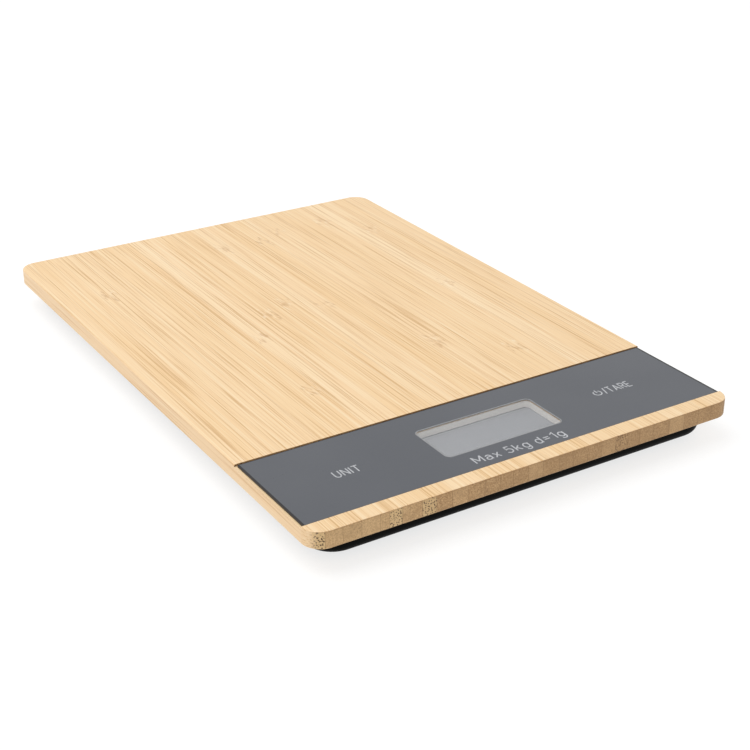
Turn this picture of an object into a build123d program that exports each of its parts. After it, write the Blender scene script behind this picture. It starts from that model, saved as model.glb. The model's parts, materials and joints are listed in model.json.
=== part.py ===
from build123d import *

import os

# Slim kitchen scale: a bamboo board with a touch panel let into its front, on a black
# plastic base that stands on four load-cell feet. Millimetres, +Z up, +Y to the back,
# +X to the right of a person who reads the display. The origin is on the table under
# the middle of the board.

# Driving dimensions of the board
PLATE_WIDTH = 160.0
PLATE_LENGTH = 236.0
PLATE_THICKNESS = 6.0
PLATE_CORNER_RADIUS = 6.5
PLATE_EDGE_RADIUS = 0.5

# Heights above the table
BASE_BOTTOM = 2.0
BASE_HEIGHT = 7.0
PLATE_BOTTOM = BASE_BOTTOM + BASE_HEIGHT
PLATE_TOP = PLATE_BOTTOM + PLATE_THICKNESS

# The channel milled across the board, from side to side, for the touch panel
CHANNEL_DEPTH = 0.8
CHANNEL_FRONT = -111.8
CHANNEL_BACK = -70.4
CHANNEL_FLOOR = PLATE_TOP - CHANNEL_DEPTH

# Touch panel and the tape under it
PANEL_RECESS = 0.2
PANEL_TAPE = 0.15
PANEL_TOP = PLATE_TOP - PANEL_RECESS
PANEL_HALF_WIDTH = 79.2
PANEL_FRONT = CHANNEL_FRONT + 0.1
PANEL_BACK = CHANNEL_BACK - 0.5
PANEL_CORNER_RADIUS = 0.4
TAPE_INSET = 0.2

# Display window, centred in the panel
WINDOW_WIDTH = 45.2
WINDOW_LENGTH = 19.6
WINDOW_RADIUS = 2.2
WINDOW_GAP = 0.1
WINDOW_LEDGE = 0.3
WINDOW_CHAMFER = 0.12
TAPE_WINDOW_GAP = 0.4
DISPLAY_Y = -91.4

# Display stack, from the polariser down to the circuit board
LCD_TOP = PANEL_TOP - 3.0
POLARISER = 0.2
GLASS = 1.1
LCD_WIDTH = 50.0
LCD_LENGTH = 26.0
REAR_GLASS_LENGTH = 20.0
FILM_WIDTH = 48.0
POLARISER_LENGTH = 19.6
POLARISER_SHIFT = -1.2
REFLECTOR = 0.2
REFLECTOR_LENGTH = 19.0
FRONT_GLASS_BOTTOM = LCD_TOP - POLARISER - GLASS
REAR_GLASS_BOTTOM = FRONT_GLASS_BOTTOM - GLASS
HOLDER_WIDTH = 55.0
HOLDER_LENGTH = 31.0
HOLDER_RADIUS = 1.0
HOLDER_TOP = LCD_TOP - 0.3
HOLDER_ROOM = 1.0
POCKET_RADIUS = 1.5
POCKET_TOP = LCD_TOP + 0.1
LCD_FIT = 0.15
LEDGE_ROOM = 0.05
ZEBRA_OFFSET = 11.8
ZEBRA_WIDTH = 2.0
ZEBRA_LENGTH = 46.0

# Circuit board
PCB_TOP = 8.0
PCB_THICKNESS = 1.2
PCB_BOTTOM = PCB_TOP - PCB_THICKNESS
PCB_HALF_WIDTH = 57.0
PCB_LENGTH = 32.0
PCB_CORNER_RADIUS = 1.0
PCB_SCREWS = [(x, DISPLAY_Y + y) for x in (-44.0, 44.0) for y in (-11.0, 11.0)]
PCB_SCREW_HOLE = 1.1
CONTROLLER_X = -8.0
CONTROLLER_RADIUS = 5.5
CONTROLLER_HEIGHT = 1.4
AMPLIFIER_X = 14.0
CRYSTAL_X = -24.0
CHIP_SIZE = (1.6, 0.8, 0.6)
CHIP_PLACES = [(x, DISPLAY_Y + 8) for x in range(-20, 28, 4)]
CHIP_PLACES += [(x, DISPLAY_Y - 8) for x in range(-16, 20, 4)]

# Touch keys: a spring under each printed label
KEY_X = {"unit": -53.0, "power": 50.5}
SPRING_RADIUS = 3.0
SPRING_WIRE = 0.25
SPRING_TURNS = 5
SPRING_BORE = 4.6

# Base shell
BASE_HALF_WIDTH = 75.2
BASE_HALF_LENGTH = 113.7
BASE_CORNER_RADIUS = 10.2
BASE_EDGE_RADIUS = 3.1
BASE_WALL = 1.6
BASE_FLOOR_TOP = BASE_BOTTOM + BASE_WALL
ROOTED = BASE_FLOOR_TOP - 0.5
RIB_HALF = 0.6
RIB_TOP = BASE_FLOOR_TOP + 2.4
RIBS_ALONG_X = (-36.0, 0.0, 36.0)
RIBS_ALONG_Y = (-20.0, 98.0)
RIBS_ACROSS_Y = (-14.0, 20.0, 54.0, 88.0)
RIBS_ACROSS_X = 44.0
SCREW_PLACES = ((67.0, -58.0), (67.0, 58.0), (34.0, -70.0), (34.0, 104.0))
BASE_SCREWS = [(sx * x, y) for sx in (-1, 1) for x, y in SCREW_PLACES]
BASE_SCREW_RADIUS = 1.2
BASE_SCREW_HEAD = 2.4
BASE_SCREW_SEAT = BASE_BOTTOM + 2.0
BASE_SCREW_TIP = PLATE_BOTTOM + 3.5
PILOT_DEPTH = 4.0
RECESS_RADIUS = 2.8
BOSS_RADIUS = 3.5
POST_RADIUS = 2.5
SMALL_SCREW_RADIUS = 0.9
SMALL_SCREW_TIP = BASE_FLOOR_TOP + 0.6
SMALL_PILOT_FLOOR = BASE_FLOOR_TOP + 0.4
SCREW_FIT = 0.02

# Load cell and foot in each corner
FOOT_X = 65.0
FOOT_Y = 100.0
CELL_SPAN = 13.0
CELL_RADIUS = 7.8
CELL_RING = 1.6
CELL_BOTTOM = 5.2
CELL_THICKNESS = 1.2
CELL_TOP = CELL_BOTTOM + CELL_THICKNESS
TONGUE_WIDTH = 4.4
TONGUE_END = 3.0
RETAINER_THICKNESS = 1.0
RETAINER_TOP = CELL_TOP + RETAINER_THICKNESS
RETAINER_FIT = 0.2
TAB_REACH = 24.4
TAB_RADIUS = 2.8
TAB_HOLE = 1.0
GAUGE_WIDTH = 3.4
GAUGE_LENGTH = 6.0
GAUGE_FILM = 0.25
GAUGE_TOP = CELL_TOP + GAUGE_FILM
GAUGE_SETBACK = 2.0
FOOT_RADIUS = 6.0
FOOT_HOLE = 6.4
FOOT_BOTTOM = 0.7
FOOT_PLATE_TOP = 3.2
FOOT_HUB_TOP = 4.5
FOOT_HUB_RADIUS = 2.6
FOOT_EDGE_RADIUS = 0.5
BARB_BOTTOM = CELL_TOP + 0.1
BARB_HEIGHT = 0.8
BARB_RADIUS = 2.1
STUD_RADIUS = 1.25
STUD_HOLE = 1.3
PAD_RADIUS = 4.8
PAD_HEIGHT = 1.5
PAD_FIT = 0.05
PAD_EDGE_RADIUS = 0.4
CORNERS = {"front_left": (-1, -1), "front_right": (1, -1), "rear_left": (-1, 1), "rear_right": (1, 1)}

# Battery compartment and door
CELL_BATTERY_RADIUS = 10.0
CELL_BATTERY_HEIGHT = 3.2
BATTERY_Y = -44.0
BATTERY_BOTTOM = 3.5
BATTERY_ROOF = 7.4
ROOF_THICKNESS = 0.8
BAY_HALF_WIDTH = 11.5
BAY_FRONT = BATTERY_Y - 12.5
BAY_BACK = BATTERY_Y + 11.5
BAY_CORNER_RADIUS = 2.0
BAY_SIDE_WALL = 2.2
BAY_FRONT_WALL = 5.5
BAY_BACK_WALL = 3.2
LEAF = 0.25
LEAF_TAIL = 6.5
LEAF_ROOM = 0.3
CAP_LEAF_X0 = -4.9
CAP_LEAF_X1 = -0.1
CAP_LEAF_SLOT = 0.45
CAN_LEAF_X = 10.8
CAN_LEAF_BOTTOM = 4.2
CAN_LEAF_TOP = 6.2
DOOR_HALF_WIDTH = 13.2
DOOR_GAP = 0.3
DOOR_FRONT = -58.2
DOOR_THICKNESS = 1.2
HINGE_Y = -30.7
HINGE_RADIUS = 0.9
HINGE_Z = BASE_BOTTOM + HINGE_RADIUS
PIN_RADIUS = 0.7
PIN_HOLE = 0.75
PIN_LENGTH = 1.1
PIN_END_ROOM = 0.2
BARREL_ROOM = 1.6
LATCH_HALF_WIDTH = 4.0
LATCH_TOP = 6.2
LATCH_STEM = 0.9
LATCH_HOOK = 0.7
LATCH_ROOM = 1.1
FINGER_DIP_RADIUS = 6.5
FINGER_DIP_DEPTH = 0.8
GRIP_GROOVES = 4
GRIP_START = 3.0
GRIP_WIDTH = 0.7
GRIP_HALF_LENGTH = 5.0
GRIP_DEPTH = 0.3

# Wiring
LEAD_RADIUS = 0.45
LEAD_CLEAR = LEAD_RADIUS + 0.02
LEAD_LANE_X = 52.0
CLIP_Y = (-40.0, 0.0, 40.0)
LEAD_START_Y = FOOT_Y - 12.5
FRONT_LEAD_BEND = 1.6
REAR_LEAD_BEND = 2.0
BATTERY_LEAD_BEND = 2.5
BATTERY_LEAD_RUN = 6.0


def block(x0, x1, y0, y1, z0, z1, radius=0.0):
    """A block between two corners, with its upright edges rounded."""
    outline = RectangleRounded(x1 - x0, y1 - y0, radius) if radius else Rectangle(x1 - x0, y1 - y0)
    return Pos((x0 + x1) / 2, (y0 + y1) / 2, z0) * extrude(outline, z1 - z0)


def slab(width, length, z0, z1, radius=0.0, x=0.0, y=0.0):
    """A block of a width and length about a centre."""
    return block(x - width / 2, x + width / 2, y - length / 2, y + length / 2, z0, z1, radius)


def disc(x, y, z0, z1, radius):
    """An upright cylinder."""
    return Pos(x, y, z0) * extrude(Circle(radius), z1 - z0)


def capsule(x, y0, y1, z0, z1, radius):
    """An upright stadium along Y whose round ends are centred at y0 and y1."""
    low, high = min(y0, y1), max(y0, y1)
    middle = block(x - radius, x + radius, low, high, z0, z1)
    return middle + disc(x, low, z0, z1, radius) + disc(x, high, z0, z1, radius)


def tube(points, bends, radius):
    """A round wire along straight runs that are joined by tangent arcs."""
    path = FilletPolyline(*points, radius=bends)
    return sweep((path ^ 0) * Circle(radius), path)


def pan_screw(x, y, head_z, tip_z, head_radius, head_height, shank_radius):
    """A pan-head screw with a cross slot. It points from its head towards tip_z."""
    up = 1 if tip_z > head_z else -1
    head_top = head_z - up * head_height
    head = disc(x, y, min(head_z, head_top), max(head_z, head_top), head_radius)
    rim = head.faces().sort_by(Axis.Z)[0 if up > 0 else -1].edges()
    head = fillet(rim, head_height * 0.45)
    slot_floor = head_top + up * head_height * 0.55
    low, high = sorted((head_top, slot_floor))
    reach = head_radius * 0.6
    slot = head_radius * 0.13
    head -= block(x - reach, x + reach, y - slot, y + slot, low, high)
    head -= block(x - slot, x + slot, y - reach, y + reach, low, high)
    low, high = sorted((head_z, tip_z))
    shank = disc(x, y, low, high, shank_radius)
    tip = shank.faces().sort_by(Axis.Z)[-1 if up > 0 else 0].edges()
    return head + chamfer(tip, shank_radius * 0.5)


def bamboo_platform():
    """The laminated board, with the panel channel, display opening and pilot holes."""
    board = slab(PLATE_WIDTH, PLATE_LENGTH, PLATE_BOTTOM, PLATE_TOP, PLATE_CORNER_RADIUS)
    rims = board.faces().sort_by(Axis.Z)[0].edges() + board.faces().sort_by(Axis.Z)[-1].edges()
    board = fillet(rims, PLATE_EDGE_RADIUS)
    board -= block(-PLATE_WIDTH, PLATE_WIDTH, CHANNEL_FRONT, CHANNEL_BACK, CHANNEL_FLOOR, PLATE_TOP + 1)
    board -= slab(
        WINDOW_WIDTH - 2 * WINDOW_LEDGE,
        WINDOW_LENGTH - 2 * WINDOW_LEDGE,
        PLATE_BOTTOM,
        PLATE_TOP,
        WINDOW_RADIUS - WINDOW_LEDGE,
        y=DISPLAY_Y,
    )
    board -= slab(
        HOLDER_WIDTH + HOLDER_ROOM,
        HOLDER_LENGTH + HOLDER_ROOM,
        PLATE_BOTTOM,
        POCKET_TOP,
        POCKET_RADIUS,
        y=DISPLAY_Y,
    )
    for x in KEY_X.values():
        board -= disc(x, DISPLAY_Y, PLATE_BOTTOM, PLATE_TOP, SPRING_BORE)
    for x, y in BASE_SCREWS:
        board -= disc(x, y, PLATE_BOTTOM, PLATE_BOTTOM + PILOT_DEPTH, BASE_SCREW_RADIUS + SCREW_FIT)
    return board


def control_panel():
    """The printed sheet that covers the channel, with its display window cut out."""
    sheet = block(
        -PANEL_HALF_WIDTH, PANEL_HALF_WIDTH, PANEL_FRONT, PANEL_BACK,
        CHANNEL_FLOOR + PANEL_TAPE, PANEL_TOP, PANEL_CORNER_RADIUS,
    )
    gap = 2 * WINDOW_GAP
    cut = slab(WINDOW_WIDTH + gap, WINDOW_LENGTH + gap, CHANNEL_FLOOR, PLATE_TOP,
               WINDOW_RADIUS + WINDOW_GAP, y=DISPLAY_Y)
    return sheet - cut


def panel_adhesive():
    """Double-sided tape between the panel and the channel floor."""
    tape = block(
        -PANEL_HALF_WIDTH + TAPE_INSET, PANEL_HALF_WIDTH - TAPE_INSET,
        PANEL_FRONT + TAPE_INSET, PANEL_BACK - TAPE_INSET,
        CHANNEL_FLOOR, CHANNEL_FLOOR + PANEL_TAPE, PANEL_CORNER_RADIUS,
    )
    gap = 2 * TAPE_WINDOW_GAP
    tape -= slab(WINDOW_WIDTH + gap, WINDOW_LENGTH + gap, CHANNEL_FLOOR, PLATE_TOP,
                 WINDOW_RADIUS + TAPE_WINDOW_GAP, y=DISPLAY_Y)
    for x in KEY_X.values():
        tape -= disc(x, DISPLAY_Y, CHANNEL_FLOOR, PLATE_TOP, SPRING_BORE)
    return tape


def display_window():
    """The clear pane that sits in the panel's cut-out, on the rim of the opening."""
    pane = slab(WINDOW_WIDTH, WINDOW_LENGTH, CHANNEL_FLOOR, PANEL_TOP, WINDOW_RADIUS, y=DISPLAY_Y)
    return chamfer(pane.faces().sort_by(Axis.Z)[-1].edges(), WINDOW_CHAMFER)


def lcd_polariser():
    """The film on the display's front glass. It stops short of the glass at the back."""
    return slab(FILM_WIDTH, POLARISER_LENGTH, LCD_TOP - POLARISER, LCD_TOP, y=DISPLAY_Y + POLARISER_SHIFT)


def lcd_front_glass():
    """The longer glass, whose two ledges carry the display's terminals."""
    return slab(LCD_WIDTH, LCD_LENGTH, FRONT_GLASS_BOTTOM, LCD_TOP - POLARISER, y=DISPLAY_Y)


def lcd_rear_glass():
    """The shorter glass behind the liquid crystal."""
    return slab(LCD_WIDTH, REAR_GLASS_LENGTH, REAR_GLASS_BOTTOM, FRONT_GLASS_BOTTOM, y=DISPLAY_Y)


def lcd_reflector():
    """The reflecting film on the back of the display."""
    return slab(FILM_WIDTH, REFLECTOR_LENGTH, REAR_GLASS_BOTTOM - REFLECTOR, REAR_GLASS_BOTTOM, y=DISPLAY_Y)


def lcd_holder():
    """The frame on the circuit board that locates the glass and the contact strips."""
    frame = slab(HOLDER_WIDTH, HOLDER_LENGTH, PCB_TOP, HOLDER_TOP, HOLDER_RADIUS, y=DISPLAY_Y)
    fit = 2 * LCD_FIT
    seat = FRONT_GLASS_BOTTOM - LEDGE_ROOM
    frame -= slab(LCD_WIDTH + fit, LCD_LENGTH + fit, seat, HOLDER_TOP, y=DISPLAY_Y)
    frame -= slab(LCD_WIDTH + fit, REAR_GLASS_LENGTH + fit, PCB_TOP, HOLDER_TOP, y=DISPLAY_Y)
    for side in (-1, 1):
        frame -= slab(ZEBRA_LENGTH + fit, ZEBRA_WIDTH + fit, PCB_TOP, HOLDER_TOP,
                      y=DISPLAY_Y + side * ZEBRA_OFFSET)
    return frame


def contact_strip(side):
    """A conductive rubber strip between the circuit board and one glass ledge."""
    return slab(ZEBRA_LENGTH, ZEBRA_WIDTH, PCB_TOP, FRONT_GLASS_BOTTOM, y=DISPLAY_Y + side * ZEBRA_OFFSET)


def main_pcb():
    """The circuit board under the display and both touch keys."""
    board = slab(2 * PCB_HALF_WIDTH, PCB_LENGTH, PCB_BOTTOM, PCB_TOP, PCB_CORNER_RADIUS, y=DISPLAY_Y)
    for x, y in PCB_SCREWS:
        board -= disc(x, y, PCB_BOTTOM, PCB_TOP, PCB_SCREW_HOLE)
    return board


def controller_chip():
    """The controller, bonded to the board's underside under a drop of black resin."""
    lowest = PCB_BOTTOM - CONTROLLER_HEIGHT
    sphere_radius = (CONTROLLER_RADIUS**2 + CONTROLLER_HEIGHT**2) / (2 * CONTROLLER_HEIGHT)
    ball = Pos(CONTROLLER_X, DISPLAY_Y, lowest + sphere_radius) * Sphere(sphere_radius)
    return ball & disc(CONTROLLER_X, DISPLAY_Y, lowest, PCB_BOTTOM, CONTROLLER_RADIUS)


def amplifier_chip():
    """The load cell converter: a sixteen-lead surface-mount package."""
    length, width, pitch, half_lead = 9.9, 3.9, 1.27, 0.2
    inner, toe, heel = width / 2 - 0.05, 3.0, 2.7
    leads_top, leads_bottom = PCB_BOTTOM - 0.7, PCB_BOTTOM - 0.9
    body = slab(length, width, PCB_BOTTOM - 1.5, PCB_BOTTOM - 0.1, x=AMPLIFIER_X, y=DISPLAY_Y)
    for i in range(8):
        x = AMPLIFIER_X + (i - 3.5) * pitch
        for side in (-1, 1):
            near, far = sorted((DISPLAY_Y + side * inner, DISPLAY_Y + side * toe))
            body += block(x - half_lead, x + half_lead, near, far, leads_bottom, leads_top)
            near, far = sorted((DISPLAY_Y + side * heel, DISPLAY_Y + side * toe))
            body += block(x - half_lead, x + half_lead, near, far, leads_bottom, PCB_BOTTOM)
    return body


def quartz_crystal():
    """The controller's clock crystal in its pressed can."""
    length, width, height, end_radius, rim = 7.0, 2.6, 1.8, 1.25, 0.3
    can = slab(length, width, PCB_BOTTOM - height, PCB_BOTTOM, end_radius, x=CRYSTAL_X, y=DISPLAY_Y)
    return fillet(can.faces().sort_by(Axis.Z)[0].edges(), rim)


def chip_parts():
    """The small resistors and capacitors on the board's underside."""
    length, width, height = CHIP_SIZE
    return [slab(length, width, PCB_BOTTOM - height, PCB_BOTTOM, x=x, y=y) for x, y in CHIP_PLACES]


def touch_spring(x):
    """The coil that carries a key's touch signal up to the underside of the panel."""
    foot = PCB_TOP + SPRING_WIRE
    height = CHANNEL_FLOOR + PANEL_TAPE - SPRING_WIRE - foot
    path = Helix(height / SPRING_TURNS, height, SPRING_RADIUS, center=(x, DISPLAY_Y, foot))
    return sweep((path ^ 0) * Circle(SPRING_WIRE), path, is_frenet=True)


def pcb_screws():
    """The screws that hold the circuit board on the base's posts."""
    head, height = 1.8, 0.8
    return [
        pan_screw(x, y, PCB_TOP, SMALL_SCREW_TIP, head, height, SMALL_SCREW_RADIUS)
        for x, y in PCB_SCREWS
    ]


def base_screws():
    """The screws that go up through the base into the board."""
    height = 1.4
    return [
        pan_screw(x, y, BASE_SCREW_SEAT, BASE_SCREW_TIP, BASE_SCREW_HEAD, height, BASE_SCREW_RADIUS)
        for x, y in BASE_SCREWS
    ]


def tray():
    """The base's outer shell: a shallow tray with a rounded lower edge."""
    width, length = 2 * BASE_HALF_WIDTH, 2 * BASE_HALF_LENGTH
    shell = slab(width, length, BASE_BOTTOM, PLATE_BOTTOM, BASE_CORNER_RADIUS)
    shell = fillet(shell.faces().sort_by(Axis.Z)[0].edges(), BASE_EDGE_RADIUS)
    inside = 2 * BASE_WALL
    corner = BASE_CORNER_RADIUS - BASE_WALL
    room = slab(width - inside, length - inside, BASE_FLOOR_TOP, PLATE_BOTTOM, corner)
    return shell - fillet(room.faces().sort_by(Axis.Z)[0].edges(), BASE_EDGE_RADIUS - BASE_WALL)


def stiffening_ribs():
    """Low ribs on the tray's floor between the battery bay and the back."""
    near, far = RIBS_ALONG_Y
    ribs = [block(x - RIB_HALF, x + RIB_HALF, near, far, ROOTED, RIB_TOP) for x in RIBS_ALONG_X]
    for y in RIBS_ACROSS_Y:
        ribs.append(block(-RIBS_ACROSS_X, RIBS_ACROSS_X, y - RIB_HALF, y + RIB_HALF, ROOTED, RIB_TOP))
    return ribs


def lead_clips():
    """Pairs of posts that keep the rear sensor leads in their lane."""
    half_gap, width, length, top = 0.7, 1.0, 3.0, BASE_FLOOR_TOP + 1.8
    clips = []
    for side in (-1, 1):
        for y in CLIP_Y:
            for offset in (-half_gap - width / 2, half_gap + width / 2):
                clips.append(slab(width, length, ROOTED, top, x=side * LEAD_LANE_X + offset, y=y))
    return clips


def battery_bay():
    """The block of material around the battery compartment, before it is hollowed."""
    side = DOOR_HALF_WIDTH + BAY_SIDE_WALL
    return block(-side, side, BAY_FRONT - BAY_FRONT_WALL, HINGE_Y + BAY_BACK_WALL,
                 BASE_BOTTOM, BATTERY_ROOF + ROOF_THICKNESS)


def battery_bay_cuts():
    """The cell's room, the door's opening, the hinge sockets and the contacts' slots."""
    lip = BASE_BOTTOM + DOOR_THICKNESS + DOOR_GAP
    back = HINGE_Y + HINGE_RADIUS + DOOR_GAP
    side = DOOR_HALF_WIDTH + DOOR_GAP
    latch = LATCH_HALF_WIDTH + 2 * DOOR_GAP
    slot_front, slot_back = BAY_FRONT - BAY_FRONT_WALL - 0.5, BAY_FRONT + 1
    cuts = [
        block(-BAY_HALF_WIDTH, BAY_HALF_WIDTH, BAY_FRONT, BAY_BACK,
              BASE_BOTTOM, BATTERY_ROOF, BAY_CORNER_RADIUS),
        block(-side, side, DOOR_FRONT - DOOR_GAP, back, BASE_BOTTOM, lip),
        block(-side, side, HINGE_Y - BARREL_ROOM, back, BASE_BOTTOM, HINGE_Z + HINGE_RADIUS + DOOR_GAP),
        block(-latch, latch, DOOR_FRONT - LATCH_ROOM, BAY_FRONT + 1, BASE_BOTTOM, LATCH_TOP + 2 * DOOR_GAP),
        disc(0, DOOR_FRONT - 0.5, BASE_BOTTOM, BASE_BOTTOM + FINGER_DIP_DEPTH, FINGER_DIP_RADIUS),
        block(CAP_LEAF_X0 - LEAF_ROOM, CAP_LEAF_X1 + LEAF_ROOM, slot_front, slot_back,
              BATTERY_ROOF - CAP_LEAF_SLOT, BATTERY_ROOF),
        block(CAN_LEAF_X - 0.2, CAN_LEAF_X + LEAF + 0.25, slot_front, slot_back,
              CAN_LEAF_BOTTOM - 0.2, CAN_LEAF_TOP + 0.2),
    ]
    socket = Cylinder(PIN_HOLE, 2 * (DOOR_HALF_WIDTH + PIN_LENGTH + PIN_END_ROOM), rotation=(0, 90, 0))
    return cuts + [Pos(0, HINGE_Y, HINGE_Z) * socket]


def base_shell():
    """The black base: tray, posts, ribs, load-cell seats and battery compartment."""
    shell = tray() + stiffening_ribs() + lead_clips() + battery_bay()
    shell += [disc(x, y, ROOTED, PLATE_BOTTOM, BOSS_RADIUS) for x, y in BASE_SCREWS]
    shell += [disc(x, y, ROOTED, PCB_BOTTOM, POST_RADIUS) for x, y in PCB_SCREWS]
    for sx, sy in CORNERS.values():
        x, y = sx * FOOT_X, sy * FOOT_Y
        tab_y = y - sy * TAB_REACH
        shell += capsule(x, y, y - sy * CELL_SPAN, ROOTED, CELL_BOTTOM, CELL_RADIUS)
        shell -= capsule(x, y, y - sy * CELL_SPAN, BASE_FLOOR_TOP, CELL_BOTTOM, CELL_RADIUS - CELL_RING)
        shell -= disc(x, y, BASE_BOTTOM, CELL_BOTTOM, FOOT_HOLE)
        shell += disc(x, tab_y, ROOTED, CELL_TOP, TAB_RADIUS)
        shell -= disc(x, tab_y, SMALL_PILOT_FLOOR, CELL_TOP, SMALL_SCREW_RADIUS + SCREW_FIT)
    for x, y in BASE_SCREWS:
        shell -= disc(x, y, BASE_BOTTOM, BASE_SCREW_SEAT, RECESS_RADIUS)
        shell -= disc(x, y, BASE_BOTTOM, PLATE_BOTTOM, BASE_SCREW_RADIUS + SCREW_FIT)
    for x, y in PCB_SCREWS:
        shell -= disc(x, y, SMALL_PILOT_FLOOR, PCB_BOTTOM, SMALL_SCREW_RADIUS + SCREW_FIT)
    return shell - battery_bay_cuts()


def load_cell(sx, sy):
    """A pressed steel cell: an outer ring with a tongue that the foot pushes on."""
    x, y = sx * FOOT_X, sy * FOOT_Y
    root = y - sy * CELL_SPAN
    ring = capsule(x, y, root, CELL_BOTTOM, CELL_TOP, CELL_RADIUS)
    ring -= capsule(x, y, root, CELL_BOTTOM, CELL_TOP, CELL_RADIUS - CELL_RING)
    near, far = sorted((y, root - sy * (CELL_RADIUS - CELL_RING / 2)))
    tongue = block(x - TONGUE_WIDTH / 2, x + TONGUE_WIDTH / 2, near, far, CELL_BOTTOM, CELL_TOP)
    tongue += disc(x, y, CELL_BOTTOM, CELL_TOP, TONGUE_END)
    return ring + tongue - disc(x, y, CELL_BOTTOM, CELL_TOP, STUD_HOLE)


def strain_gauge(sx, sy):
    """The gauge film bonded across the root of a cell's tongue."""
    y = FOOT_Y - CELL_SPAN + GAUGE_SETBACK
    return slab(GAUGE_WIDTH, GAUGE_LENGTH, CELL_TOP, GAUGE_TOP, x=sx * FOOT_X, y=sy * y)


def cell_retainer(sx, sy):
    """The plastic ring that clamps a cell in its seat, with one screwed tab."""
    x, y = sx * FOOT_X, sy * FOOT_Y
    root = y - sy * CELL_SPAN
    ring = capsule(x, y, root, CELL_TOP, RETAINER_TOP, CELL_RADIUS)
    tab_y = y - sy * TAB_REACH
    near, far = sorted((root - sy * (CELL_RADIUS - 1), tab_y))
    ring += block(x - TAB_RADIUS, x + TAB_RADIUS, near, far, CELL_TOP, RETAINER_TOP)
    ring += disc(x, tab_y, CELL_TOP, RETAINER_TOP, TAB_RADIUS)
    ring -= capsule(x, y, root, CELL_TOP, RETAINER_TOP, CELL_RADIUS - CELL_RING + RETAINER_FIT)
    return ring - disc(x, tab_y, CELL_TOP, RETAINER_TOP, TAB_HOLE)


def retainer_screws():
    """One screw through each retainer's tab."""
    head, height = 1.9, 0.9
    places = [(sx * FOOT_X, sy * (FOOT_Y - TAB_REACH)) for sx, sy in CORNERS.values()]
    return [
        pan_screw(x, y, RETAINER_TOP, SMALL_SCREW_TIP, head, height, SMALL_SCREW_RADIUS)
        for x, y in places
    ]


def foot_cup(sx, sy):
    """A foot: a cup with a hub, and a barbed stud through the cell's tongue."""
    x, y = sx * FOOT_X, sy * FOOT_Y
    cup = disc(x, y, FOOT_BOTTOM, FOOT_PLATE_TOP, FOOT_RADIUS)
    cup = fillet(cup.faces().sort_by(Axis.Z)[0].edges(), FOOT_EDGE_RADIUS)
    cup += disc(x, y, FOOT_PLATE_TOP, FOOT_HUB_TOP, FOOT_HUB_RADIUS)
    cup += disc(x, y, FOOT_HUB_TOP, BARB_BOTTOM, STUD_RADIUS)
    barb = disc(x, y, BARB_BOTTOM, BARB_BOTTOM + BARB_HEIGHT, BARB_RADIUS)
    cup += chamfer(barb.faces().sort_by(Axis.Z)[-1].edges(), FOOT_EDGE_RADIUS)
    return cup - disc(x, y, 0, PAD_HEIGHT, PAD_RADIUS + PAD_FIT)


def rubber_pad(sx, sy):
    """The soft pad that a foot stands on."""
    pad = disc(sx * FOOT_X, sy * FOOT_Y, 0, PAD_HEIGHT, PAD_RADIUS)
    return fillet(pad.faces().sort_by(Axis.Z)[0].edges(), PAD_EDGE_RADIUS)


def coin_cell():
    """A 20 by 3.2 mm lithium coin cell, its can towards the door."""
    cap, cap_radius, rim = 0.3, 8.9, 0.5
    can_top = BATTERY_BOTTOM + CELL_BATTERY_HEIGHT - cap
    can = disc(0, BATTERY_Y, BATTERY_BOTTOM, can_top, CELL_BATTERY_RADIUS)
    can = fillet(can.faces().sort_by(Axis.Z)[0].edges(), rim)
    return can + disc(0, BATTERY_Y, can_top, can_top + cap, cap_radius)


def battery_contact_negative():
    """The leaf that presses on the cell's cap from the compartment's roof."""
    top = BATTERY_ROOF - 0.05
    touch = BATTERY_BOTTOM + CELL_BATTERY_HEIGHT + LEAF
    bend, press, tip = BATTERY_Y - 4, BATTERY_Y + 3, BATTERY_Y + 5
    upper = [(BAY_FRONT - LEAF_TAIL, top), (bend, top), (press, touch), (tip, top)]
    lower = [(y, z - LEAF) for y, z in reversed(upper)]
    profile = make_face(Polyline(*upper, *lower, close=True))
    return extrude(Plane.YZ.offset(CAP_LEAF_X0) * profile, CAP_LEAF_X1 - CAP_LEAF_X0)


def battery_contact_positive():
    """The leaf that presses on the side of the cell's can."""
    touch = CELL_BATTERY_RADIUS + 0.1
    bend, tip = BATTERY_Y - 6, BATTERY_Y + 6
    inner = [(CAN_LEAF_X, BAY_FRONT - LEAF_TAIL), (CAN_LEAF_X, bend), (touch, BATTERY_Y), (CAN_LEAF_X, tip)]
    outer = [(x + LEAF, y) for x, y in reversed(inner)]
    profile = make_face(Polyline(*inner, *outer, close=True))
    return Pos(0, 0, CAN_LEAF_BOTTOM) * extrude(profile, CAN_LEAF_TOP - CAN_LEAF_BOTTOM)


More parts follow.
